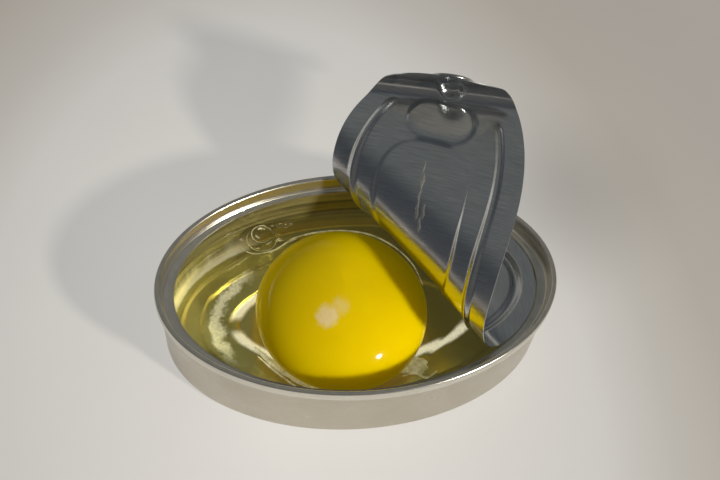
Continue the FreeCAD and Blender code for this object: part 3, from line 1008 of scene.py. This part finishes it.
bubbleReflectionArcs = {
    # painted reflections on a bubble's film, drawn as pale arcs (waterline, inner ring, glints): share of its
    # radius, thickness, first and last angle
    "large": ((0.99, 0.13, 0, 360), (0.68, 0.09, 20, 330), (0.34, 0.22, 80, 140), (0.45, 0.26, 200, 250),
              (0.8, 0.2, 285, 320)),
    "small": ((0.98, 0.05, 150, 370), (0.4, 0.24, 225, 285)),
}


def softCourse(stops, steps=10):
    # a smooth line through the stops
    line = []
    ends = [stops[0]] + list(stops) + [stops[-1]]
    for i in range(1, len(ends) - 2):
        a, b, c, d = (Vector(p) for p in ends[i - 1:i + 3])
        for k in range(steps):
            t = k / steps
            bend, twist = 2 * a - 5 * b + 4 * c - d, 3 * b - a - 3 * c + d
            line.append(0.5 * (2 * b + (c - a) * t + bend * t * t + twist * t ** 3))
    return line + [Vector(stops[-1])]


def tubeRings(line, radius, count=10):
    # a thread that thins to its ends
    rings = []
    for k, p in enumerate(line):
        ahead = (line[min(k + 1, len(line) - 1)] - line[max(k - 1, 0)]).normalized()
        side = ahead.cross(Vector((0, 0, 1))).normalized()
        up = side.cross(ahead)
        t = k / (len(line) - 1)
        r = radius * (0.15 + 0.85 * sin(pi * t) ** 0.5) * (1 + 0.35 * noise.noise(p * 0.9))
        rings.append([p + side * x + up * y for x, y, z in levelRing(count, (0, 0), (r, 0.5 * r), 0)])
    return rings


def filmArc(x, y, z, radius, share, start, end, steps):
    # a course over a bubble's film; z is the height of the bubble's middle
    reach = radius * share
    z += radius * sqrt(1 - share ** 2)
    turns = [radians(start + (end - start) * k / steps) for k in range(steps + 1)]
    return [Vector((x + reach * cos(turn), y + reach * sin(turn), z)) for turn in turns]


def sheetRings():
    # a torn sheet of thick white: its upper skin from the middle out, then its lower skin back
    (middleX, middleY), (halfX, halfY), thick = tornSheet["middle"], tornSheet["half"], tornSheet["thick"]
    rings = []
    for share in [0.02 + 0.98 * k / 12 for k in range(13)]:
        ring = []
        for x, y, z in levelRing(72, (0, 0), (1, 1), 0):
            reach = share * (1 + tornSheet["torn"] * noise.noise(Vector((2 * x, 2 * y, 3.3))))
            x, y = middleX + halfX * reach * x, middleY + halfY * reach * y
            ring.append((x, y, whiteLevel(x, y) + thick * (1 - share ** 4) + 0.01))
        rings.append(ring)
    lower = [[(x, y, z - thick - 0.05) for x, y, z in ring] for ring in reversed(rings)]
    return rings + [[(x, y, z - 0.06) for x, y, z in rings[-1]]] + lower


def makeThreads(material):
    courses = []
    for radius, stops in threads.values():
        courses.append((radius, [Vector((p.x, p.y, whiteLevel(p.x, p.y) + 0.02)) for p in softCourse(stops)]))
    # painted reflections on each bubble: its pale waterline, an inner ring and short bright arcs for glints
    for k, (x, y, radius) in enumerate(bubbleSpots):
        size, steps, lift = ("small", 24, 0.0) if k else ("large", 48, 0.05 - foam["sunk"] * radius)
        for share, thick, start, end in bubbleReflectionArcs[size]:
            courses.append((thick, filmArc(x, y, whiteLevel(x, y) + lift, radius, share, start, end, steps)))
    points, faces = [], []
    for radius, line in courses:
        rings = tubeRings(line, radius)
        more, quads = bridgeRings(rings)
        capEnds(more, quads, len(rings[0]), line[0], line[-1])
        addPart(points, faces, more, quads)
    rings = sheetRings()
    more, quads = bridgeRings(rings)
    middle = tornSheet["middle"]
    capEnds(more, quads, len(rings[0]), (*middle, rings[0][0][2]), (*middle, rings[-1][0][2]))
    addPart(points, faces, more, quads)
    setPiece(makeMesh("threads", points, faces, [material], sharp=80), "white")


makeBody()
makeEndRing()
makeLid()
makeTab()
makeRivet()
makeYolk(yolkMaterial())
makeWhite(whiteMaterial())
makeDrips(dripMaterial())
makeFoam(bubbleMaterial())
makeThreads(threadMaterial())


# the table: a pale board under the tin

table = {
    "half": 1500.0,
    "boardColour": "8C8A86",      # the part of its brightness that a shadow can take away
    "glowMiddle": (-20.0, -20.0),
    "glowStretch": 1.6,           # it falls off more slowly away from the camera
    "glowReach": 150.0,
    "glow": [(0.0, "C7C4BF"), (0.4, "B4B2AE"), (0.55, "ACAAA7"), (0.67, "97938D"), (0.8, "888079"),
             (1.0, "827B76")],
    "shadeMiddle": (66.0, 40.0),  # the lid keeps the room's light off the board here
    "shadeReach": 42.0,
    "shadeDepth": 0.36,
}


def makeTable():
    # a painted board; its own glow, which only the eye and mirrors see, keeps the shadows on it pale
    material, tree = startMaterial("pale_board")
    place = addNode(tree, "TexCoord").outputs["Object"]
    stretch = table["glowStretch"]
    middle = (table["glowMiddle"][0] * mm, table["glowMiddle"][1] * mm / stretch, 0)
    squeezed = addNode(tree, "VectorMath", {"operation": "MULTIPLY", 1: (1, 1 / stretch, 1)}, {0: place})
    gap = addNode(tree, "VectorMath", {"operation": "DISTANCE", 1: middle}, {0: squeezed})
    reach = addNode(tree, "MapRange", {2: table["glowReach"] * mm}, {0: gap.outputs["Value"]})
    colour = addNode(tree, "ValToRGB", {"ramp": table["glow"]}, {"Fac": reach})
    shadeAt = (table["shadeMiddle"][0] * mm, table["shadeMiddle"][1] * mm, 0)
    gap = addNode(tree, "VectorMath", {"operation": "DISTANCE", 1: shadeAt}, {0: place})
    shade = addNode(tree, "MapRange", {2: table["shadeReach"] * mm, 3: 1 - table["shadeDepth"], **smoothly},
                    {0: gap.outputs["Value"]})
    mottle = addNode(tree, "TexNoise", {"Scale": 14.0, "Detail": 4.0}, {"Vector": place})
    worn = addNode(tree, "MapRange", {1: 0.3, 2: 0.7, 3: 0.975, 4: 1.025}, {0: mottle})
    strength = addNode(tree, "Math", {"operation": "MULTIPLY"}, {0: shade, 1: worn})
    board = addNode(tree, "BsdfPrincipled", {"Base Color": hexColour(table["boardColour"]), "Roughness": 0.7,
                                             "Specular IOR Level": 0.2})
    path = addNode(tree, "LightPath")
    seen = path.outputs["Is Camera Ray"]
    for way in ("Is Glossy Ray", "Is Transmission Ray"):
        seen = addNode(tree, "Math", {"operation": "ADD", "use_clamp": True}, {0: seen, 1: path.outputs[way]})
    strength = addNode(tree, "Math", {"operation": "MULTIPLY"}, {0: strength, 1: seen})
    glow = addNode(tree, "Emission", links={"Color": colour, "Strength": strength})
    endMaterial(tree, addNode(tree, "AddShader", links={0: board, 1: glow}))
    h = table["half"]
    piece = makeMesh("table", [(-h, -h, 0), (h, -h, 0), (h, h, 0), (-h, h, 0)], [(0, 1, 2, 3)], [material])


makeTable()


# light: a small lamp low on the right front and a dim room

light = {
    "lampWay": (1.087, -1.145, 1.0),  # from the tin to the lamp
    "lampReach": 1.2,
    "lampSize": 0.11,
    "lampPower": 13.0,
    "lampColour": "FFFAF0",
    "roomDark": "484B50",
    "roomFront": "5C5C5B",
    "roomPane": "6D6F6F",             # a large pale pane overhead at the back
    "paneWay": (-0.19, 0.60, 0.777),
    "roomPale": "F4F0E6",
    "paleRise": 0.3,                  # sine of the height at which the pale band has faded
}


def makeLamp():
    data = bpy.data.lights.new("lamp", "AREA")
    data.shape = "DISK"
    data.size = light["lampSize"]
    data.energy = light["lampPower"]
    data.color = hexColour(light["lampColour"])[:3]
    lamp = bpy.data.objects.new("lamp", data)
    scene.collection.objects.link(lamp)
    lamp.location = Vector(light["lampWay"]).normalized() * light["lampReach"]
    lamp.rotation_euler = (lamp.location - Vector((0, 0, 0.015))).to_track_quat("Z", "Y").to_euler()


def makeRoom():
    world = bpy.data.worlds.new("room")
    scene.world = world
    world.use_nodes = True
    tree = world.node_tree
    tree.nodes.clear()
    way = addNode(tree, "TexCoord").outputs["Generated"]
    parts = addNode(tree, "SeparateXYZ", links={0: way})
    low = addNode(tree, "MapRange", {2: light["paleRise"], 3: 1.0, 4: 0.0, **smoothly}, {0: parts.outputs["Z"]})
    behind = addNode(tree, "MapRange", {2: 0.6, **smoothly}, {0: parts.outputs["Y"]})
    pale = addNode(tree, "Math", {"operation": "MULTIPLY"}, {0: low, 1: behind})
    facing = addNode(tree, "VectorMath", {"operation": "DOT_PRODUCT", 1: light["paneWay"]}, {0: way})
    pane = addNode(tree, "MapRange", {1: 0.52, 2: 0.95, **smoothly}, {0: facing.outputs["Value"]})
    front = addNode(tree, "MapRange", {1: -0.25, 2: -0.8, **smoothly}, {0: parts.outputs["Y"]})
    shade = addNode(tree, "RGB").outputs[0]
    shade.default_value = hexColour(light["roomDark"])
    for share, name in ((pale, "roomPale"), (pane, "roomPane"), (front, "roomFront")):
        shade = addNode(tree, "Mix", {"data_type": "RGBA", 7: hexColour(light[name])},
                        {0: share, 6: shade}).outputs[2]
    back = addNode(tree, "Background", links={"Color": shade})
    addNode(tree, "OutputWorld", links={"Surface": back})


makeLamp()
makeRoom()
scene.view_settings.view_transform = "Standard"


# camera: a 70 mm lens looking down on the tin from the front

camera = {
    "place": (-43.09, -190.93, 329.41),
    "target": (2.53, 14.62, 20.0),
    "roll": -6.8,
    "lens": 70.0,
}


def makeCamera():
    data = bpy.data.cameras.new("camera")
    data.lens = camera["lens"]
    data.sensor_width = 36.0
    data.clip_start = 0.01
    data.clip_end = 10.0
    eye = bpy.data.objects.new("camera", data)
    scene.collection.objects.link(eye)
    place, target = Vector(camera["place"]), Vector(camera["target"])
    back = (place - target).normalized()
    level = Vector((0, 0, 1)).cross(back).normalized()
    upright = back.cross(level)
    roll = radians(camera["roll"])
    right = level * cos(roll) - upright * sin(roll)
    up = level * sin(roll) + upright * cos(roll)
    turn = Matrix((right, up, back)).transposed().to_4x4()
    eye.matrix_world = Matrix.Translation(place * mm) @ turn
    scene.camera = eye


makeCamera()
print("room, lamp and camera ready")
